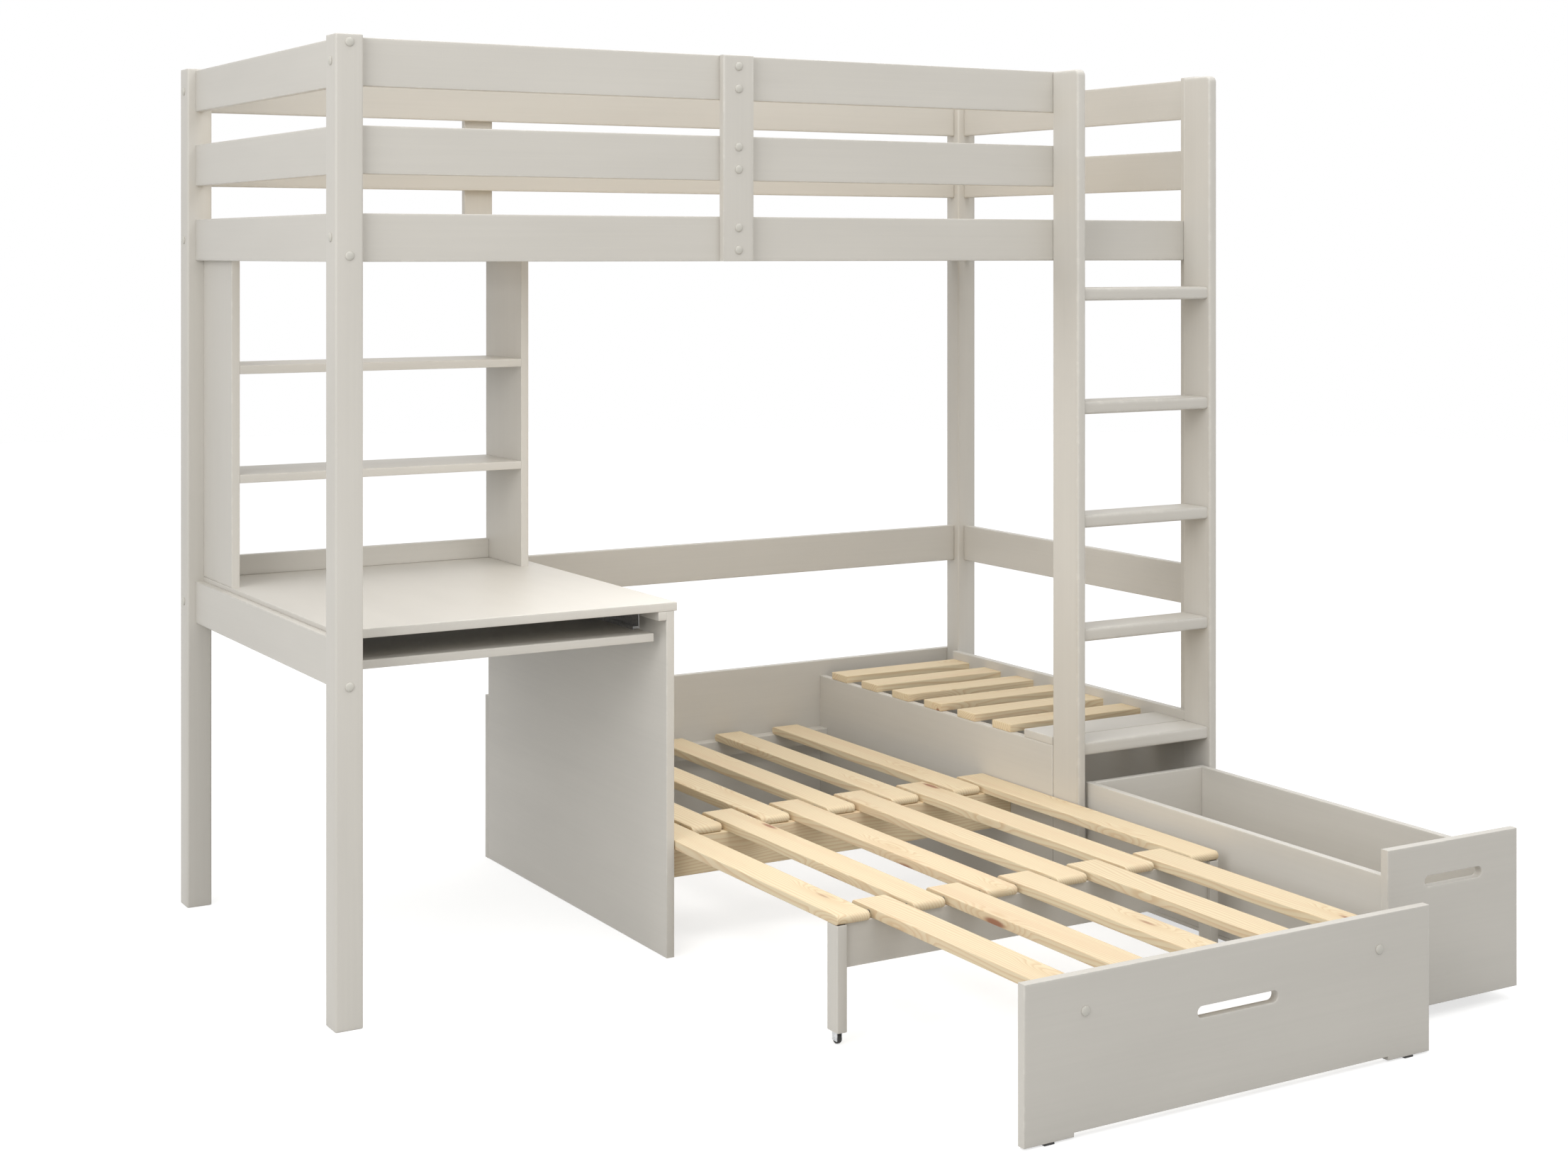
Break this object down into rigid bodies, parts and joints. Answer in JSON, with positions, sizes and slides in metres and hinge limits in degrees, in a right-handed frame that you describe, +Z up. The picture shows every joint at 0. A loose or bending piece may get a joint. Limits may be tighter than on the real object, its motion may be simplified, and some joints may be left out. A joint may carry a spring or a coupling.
{
  "type": "loft bed with desk",
  "caption": "Raised single bed on posts with guard rails, a ladder, a desk with shelves and tray, a slatted bench with a drawer, and a slatted guest bed that slides out.",
  "frame": {"origin": "on the floor under the middle of the whole object with the guest bed and the drawer out", "axes": "+Z up, +X along the bed to the right, -Y towards the front"},
  "size_m": [2.104, 2.108, 1.83],
  "materials": {
    "painted wood": "satin greige paint on wood",
    "pine": "bare knotty pine, planed",
    "steel": "zinc plated",
    "caps": "satin",
    "wheels": "matt"
  },
  "bodies": {
    "frame": {"post_front_left": "painted wood", "post_back_left": "painted wood", "post_front_right": "painted wood", "post_back_right": "painted wood", "rail_front_top": "painted wood", "rail_front_middle": "painted wood", "rail_front_bottom": "painted wood", "rails_back": "painted wood", "rails_left_end": "painted wood", "rails_right_end": "painted wood", "low_rails": "painted wood", "batten_front": "painted wood", "battens_back": "painted wood", "bed_base_ledgers": "painted wood", "bed_base_slats": "pine", "ladder_upright_left": "painted wood", "ladder_upright_right": "painted wood", "ladder_rungs": "painted wood", "step_board": "painted wood", "desk_top": "painted wood", "desk_side_panel": "painted wood", "desk_cleats": "painted wood", "desk_back_rail": "painted wood", "tray_channels": "steel", "shelf_side_left": "painted wood", "shelf_side_right": "painted wood", "shelves": "painted wood", "back_board": "painted wood", "bench_side_panel": "painted wood", "bench_outer_board": "painted wood", "bench_slats": "pine", "bench_cleat": "painted wood", "guest_fixed_slats": "pine", "guest_fixed_apron": "pine", "guest_back_ledger": "painted wood", "frame_bolts": "steel", "frame_caps": "caps"},
    "guest_frame": {"guest_rear_slats": "pine", "guest_front_slats": "pine", "guest_moving_apron": "painted wood", "guest_rear_batten": "pine", "guest_legs": "painted wood", "guest_caster_forks": "steel", "guest_front_panel": "painted wood", "guest_panel_ledger": "pine", "guest_panel_bolts": "steel", "guest_glides": "wheels", "guest_slat_pins": "steel", "guest_panel_caps": "caps"},
    "drawer": {"drawer_front": "painted wood", "drawer_sides": "painted wood", "drawer_back": "painted wood", "drawer_base": "painted wood", "drawer_brackets": "steel"},
    "tray": {"keyboard_tray": "painted wood", "tray_bars": "steel"},
    "caster_left": {"guest_caster_left": "wheels"},
    "caster_right": {"guest_caster_right": "wheels"},
    "drawer_wheels_front": {"drawer_wheels_front": "wheels"},
    "drawer_wheels_back": {"drawer_wheels_back": "wheels"}
  },
  "joints": [
    {"name": "guest_bed_slide", "type": "slide", "parent": "frame", "child": "guest_frame", "axis": [0, 1, 0], "range_m": [0, 0.615]},
    {"name": "caster_left_roll", "type": "hinge", "parent": "guest_frame", "child": "caster_left", "pos_m": [-0.286, -0.471, 0.01], "axis": [1, 0, 0], "continuous": true},
    {"name": "caster_right_roll", "type": "hinge", "parent": "guest_frame", "child": "caster_right", "pos_m": [0.588, -0.471, 0.01], "axis": [1, 0, 0], "continuous": true},
    {"name": "drawer_slide", "type": "slide", "parent": "frame", "child": "drawer", "axis": [0, 1, 0], "range_m": [0, 0.894]},
    {"name": "drawer_wheels_front_roll", "type": "hinge", "parent": "drawer", "child": "drawer_wheels_front", "pos_m": [0.7975, -0.842, 0.018], "axis": [1, 0, 0], "continuous": true},
    {"name": "drawer_wheels_back_roll", "type": "hinge", "parent": "drawer", "child": "drawer_wheels_back", "pos_m": [0.7975, -0.08, 0.018], "axis": [1, 0, 0], "continuous": true},
    {"name": "tray_slide", "type": "slide", "parent": "frame", "child": "tray", "axis": [0, -1, 0], "range_m": [0, 0.25]}
  ]
}
